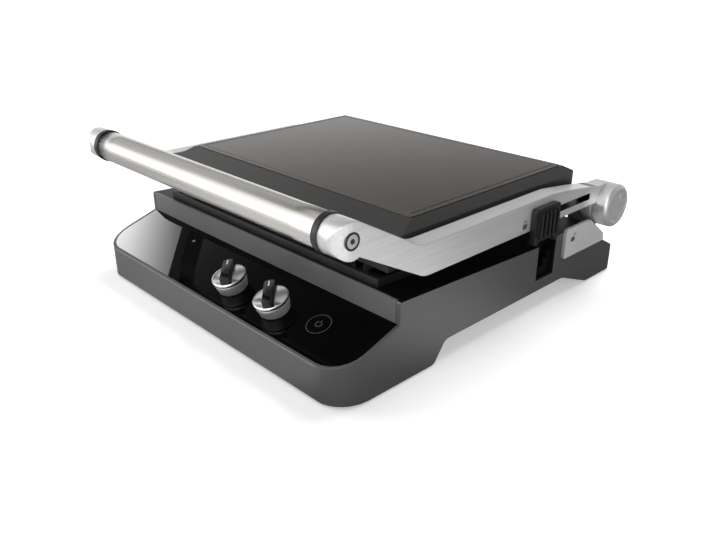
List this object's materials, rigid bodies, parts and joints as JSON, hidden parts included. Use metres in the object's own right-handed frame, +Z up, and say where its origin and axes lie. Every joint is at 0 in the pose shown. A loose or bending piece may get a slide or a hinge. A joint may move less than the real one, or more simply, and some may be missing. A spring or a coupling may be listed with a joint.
{
  "type": "electric contact grill",
  "caption": "Countertop contact grill with ribbed plates, a floating lid on two cast arms with a round bar handle, a sloped control panel and a pull-out drip tray.",
  "frame": {"origin": "centre of the footprint, on the counter", "axes": "+X to the right as seen from the control panel, +Y to the rear, +Z up"},
  "size_m": [0.377, 0.3788, 0.1455],
  "materials": {
    "housing": "satin dark grey",
    "black_plastic": "moulded black",
    "gloss_black": "polished black",
    "strip_grey": "satin grey",
    "rubber": "matt",
    "steel": "zinc plated",
    "cast_arm": "satin cast",
    "brushed_tube": "brushed along its length",
    "lid_dark": "satin dark",
    "lid_bronze": "satin bronze",
    "plate_coat": "dark non-stick coating",
    "heater_steel": "bare sheath",
    "tin_sheet": "bright sheet",
    "chrome": "polished",
    "bronze_bush": "sintered",
    "board": "green board",
    "ceramic_white": "pale",
    "lamp_lens": "clear lens"
  },
  "bodies": {
    "base": {"base_housing": "housing", "bottom_cover": "black_plastic", "rubber_feet": "rubber", "cover_screws": "steel", "front_strip": "strip_grey", "control_panel": "gloss_black", "indicator_lamp": "lamp_lens", "thermostat": "ceramic_white", "timer_unit": "steel", "control_board": "board", "lower_plate": "plate_coat", "lower_heater": "heater_steel", "lower_reflector": "tin_sheet", "side_plate_right": "steel", "side_plate_left": "steel", "hinge_pin_right": "steel", "hinge_pin_left": "steel", "slider_stop": "black_plastic", "cord_gland": "black_plastic", "terminal_block": "ceramic_white", "thermal_fuse": "steel"},
    "tray": {"drip_tray": "black_plastic"},
    "arms": {"arm_right": "cast_arm", "arm_left": "cast_arm", "handle_tube": "brushed_tube", "handle_rings": "black_plastic", "handle_core": "steel", "end_covers": "steel", "hinge_bushes": "bronze_bush", "hinge_cap_right": "cast_arm", "hinge_cap_left": "cast_arm", "pivot_pins": "steel"},
    "slider": {"height_slider": "black_plastic", "slider_clip": "steel"},
    "lid": {"lid_shell": "lid_dark", "lid_top_panel": "lid_bronze", "lid_frame": "steel", "upper_plate": "plate_coat", "upper_heater": "heater_steel", "upper_reflector": "tin_sheet", "lid_screws": "steel", "pivot_bushes": "bronze_bush"},
    "temperature_knob": {"temp_knob_skirt": "chrome", "temp_knob_cap": "chrome", "temp_knob_shaft": "steel"},
    "timer_knob": {"timer_knob_skirt": "chrome", "timer_knob_cap": "chrome", "timer_knob_shaft": "steel"},
    "button": {"power_button": "gloss_black"}
  },
  "joints": [
    {"name": "lid_open", "type": "hinge", "parent": "base", "child": "arms", "pos_m": [0, 0.1558, 0.078], "axis": [-1, 0, 0], "range_deg": [0, 180]},
    {"name": "lid_level", "type": "hinge", "parent": "arms", "child": "lid", "pos_m": [0, 0.0049, 0.09665], "axis": [-1, 0, 0], "range_deg": [0, 3]},
    {"name": "slider_travel", "type": "slide", "parent": "arms", "child": "slider", "axis": [0, 1, 0], "range_m": [0, 0.05]},
    {"name": "temperature_turn", "type": "hinge", "parent": "base", "child": "temperature_knob", "pos_m": [0.017, -0.16241, 0.03966], "axis": [0, -0.3162, 0.9487], "range_deg": [-270, 0]},
    {"name": "timer_turn", "type": "hinge", "parent": "base", "child": "timer_knob", "pos_m": [0.0738, -0.16241, 0.03966], "axis": [0, -0.3162, 0.9487], "range_deg": [-300, 0]},
    {"name": "power_press", "type": "slide", "parent": "base", "child": "button", "axis": [0, 0.3162, -0.9487], "range_m": [0, 0.0015], "stiffness_N_per_m": 300},
    {"name": "tray_pull", "type": "slide", "parent": "base", "child": "tray", "axis": [0, 1, 0], "range_m": [0, 0.18]}
  ],
  "couplings": [
    {"joint": "lid_level", "follows": "lid_open", "ratio": 0.01666}
  ]
}
